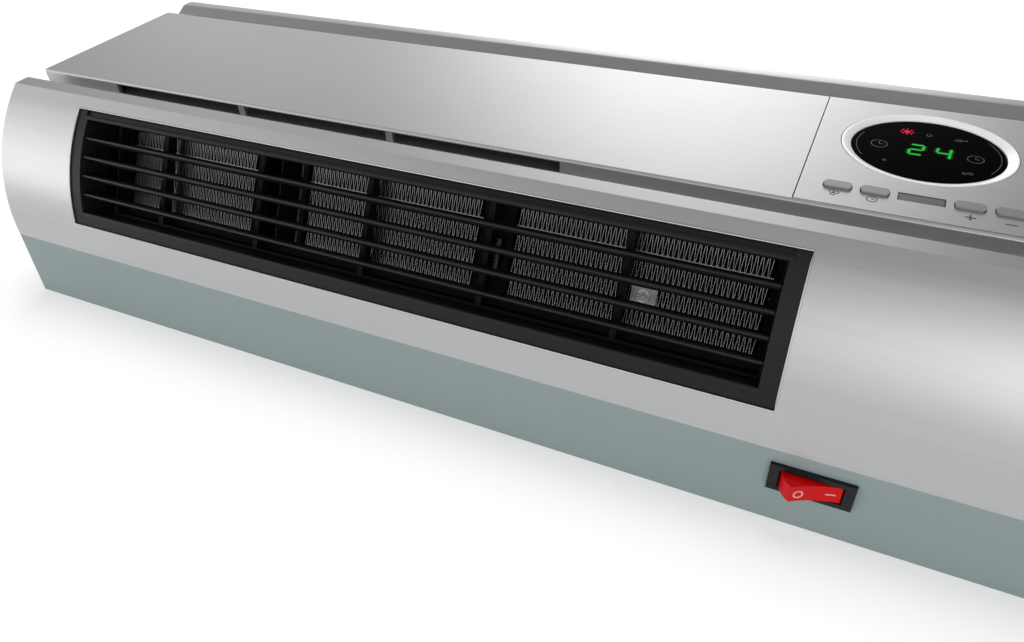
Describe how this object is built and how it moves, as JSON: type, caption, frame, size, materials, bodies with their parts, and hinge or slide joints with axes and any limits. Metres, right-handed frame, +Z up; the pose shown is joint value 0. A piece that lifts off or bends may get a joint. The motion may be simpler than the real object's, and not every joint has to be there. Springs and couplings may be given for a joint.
{
  "type": "wall-mounted fan heater",
  "caption": "Wall-mounted fan heater with a tangential fan, ceramic heating banks, linked swinging outlet blades, push buttons, a display and a rocker switch.",
  "frame": {"origin": "centre of the flat back, in the plane of the wall", "axes": "+X right along the length as seen from the room, +Y into the wall, +Z up; the front faces -Y"},
  "size_m": [0.522, 0.1129, 0.184],
  "materials": {
    "silver_paint": "silver painted plastic, satin, with fine streaks along the length",
    "casing_plastic": "moulded gray-green plastic",
    "frame_plastic": "moulded black plastic",
    "blade_plastic": "moulded dark gray plastic",
    "ring_paint": "bright silver paint",
    "lens": "polished black plastic",
    "receiver_lens": "smoked translucent plastic",
    "button_plastic": "moulded gray plastic",
    "circuit_board": "green lacquered board",
    "black_parts": "moulded black component cases",
    "relay_case": "moulded blue case",
    "yellow_case": "wrapped yellow case",
    "white_plastic": "moulded off-white plastic",
    "steel": "plated steel",
    "dark_steel": "laminated sheet steel",
    "fin_foil": "folded foil",
    "ceramic": "dull gray ceramic",
    "copper": "enamelled copper",
    "bronze": "sintered bronze",
    "rubber": "moulded rubber",
    "filter_mesh": "woven mesh",
    "red_plastic": "moulded red translucent plastic"
  },
  "bodies": {
    "casing": {"rear_casing": "casing_plastic", "front_shell": "silver_paint", "front_plate": "silver_paint", "control_panel": "silver_paint", "display_ring": "ring_paint", "display_window": "lens", "receiver_window": "receiver_lens", "control_board": "circuit_board", "button_switches": "black_parts", "digit_display": "black_parts", "infrared_receiver": "black_parts", "outlet_frame": "frame_plastic", "swing_motor": "steel", "outlet_guard": "frame_plastic", "heater_carrier": "frame_plastic", "fins_left": "fin_foil", "fins_middle": "fin_foil", "fins_right": "fin_foil", "heating_stones": "ceramic", "contact_strips": "fin_foil", "heater_terminals": "steel", "thermal_cutout": "steel", "cutout_screw": "steel", "thermal_fuse": "white_plastic", "scroll_housing": "frame_plastic", "stabiliser": "steel", "fan_bush": "bronze", "bush_mount": "rubber", "motor_core": "dark_steel", "motor_coil": "copper", "motor_brackets": "steel", "motor_screws": "steel", "power_board": "circuit_board", "relays": "relay_case", "supply_capacitor": "yellow_case", "supply_transformer": "yellow_case", "terminal_block": "white_plastic", "switch_housing": "black_parts", "switch_terminals": "copper", "cable_bushing": "rubber", "bushing_nut": "black_parts", "intake_grille": "silver_paint", "dust_filter": "filter_mesh", "casing_screws": "steel", "board_screws": "steel"},
    "rocker": {"rocker": "red_plastic"},
    "heat_button": {"heat_button": "button_plastic"},
    "timer_button": {"timer_button": "button_plastic"},
    "plus_button": {"plus_button": "button_plastic"},
    "minus_button": {"minus_button": "button_plastic"},
    "fan": {"fan_drum": "frame_plastic", "stub_axle": "steel", "motor_shaft": "steel", "motor_rotor": "dark_steel"},
    "blade_1": {"blade_1": "blade_plastic"},
    "blade_2": {"blade_2": "blade_plastic", "swing_shaft": "steel"},
    "blade_3": {"blade_3": "blade_plastic"},
    "blade_4": {"blade_4": "blade_plastic"},
    "link": {"blade_link": "blade_plastic"}
  },
  "joints": [
    {"name": "rocker_switch", "type": "hinge", "parent": "casing", "child": "rocker", "pos_m": [0.17375, -0.02487, -0.08564], "axis": [0, 0.9983, -0.0586], "range_deg": [0, 43]},
    {"name": "heat_press", "type": "slide", "parent": "casing", "child": "heat_button", "axis": [0, 1, 0], "range_m": [0, 0.0007], "stiffness_N_per_m": 500},
    {"name": "timer_press", "type": "slide", "parent": "casing", "child": "timer_button", "axis": [0, 1, 0], "range_m": [0, 0.0007], "stiffness_N_per_m": 500},
    {"name": "plus_press", "type": "slide", "parent": "casing", "child": "plus_button", "axis": [0, 1, 0], "range_m": [0, 0.0007], "stiffness_N_per_m": 500},
    {"name": "minus_press", "type": "slide", "parent": "casing", "child": "minus_button", "axis": [0, 1, 0], "range_m": [0, 0.0007], "stiffness_N_per_m": 500},
    {"name": "fan_spin", "type": "hinge", "parent": "casing", "child": "fan", "pos_m": [0, -0.0461, -0.00638], "axis": [1, 0, 0], "continuous": true},
    {"name": "blade_2_swing", "type": "hinge", "parent": "casing", "child": "blade_2", "pos_m": [0, -0.08382, -0.06371], "axis": [1, 0, 0], "range_deg": [-25, 25]},
    {"name": "blade_1_swing", "type": "hinge", "parent": "casing", "child": "blade_1", "pos_m": [0, -0.09166, -0.0581], "axis": [1, 0, 0], "range_deg": [-25, 25]},
    {"name": "blade_3_swing", "type": "hinge", "parent": "casing", "child": "blade_3", "pos_m": [0, -0.07546, -0.06844], "axis": [1, 0, 0], "range_deg": [-25, 25]},
    {"name": "blade_4_swing", "type": "hinge", "parent": "casing", "child": "blade_4", "pos_m": [0, -0.06659, -0.07228], "axis": [1, 0, 0], "range_deg": [-25, 25]},
    {"name": "link_pivot", "type": "hinge", "parent": "blade_2", "child": "link", "pos_m": [0, -0.07886, -0.05744], "axis": [1, 0, 0], "range_deg": [-25, 25]}
  ],
  "couplings": [
    {"joint": "blade_1_swing", "follows": "blade_2_swing", "ratio": 1},
    {"joint": "blade_3_swing", "follows": "blade_2_swing", "ratio": 1},
    {"joint": "blade_4_swing", "follows": "blade_2_swing", "ratio": 1},
    {"joint": "link_pivot", "follows": "blade_2_swing", "ratio": -1}
  ]
}
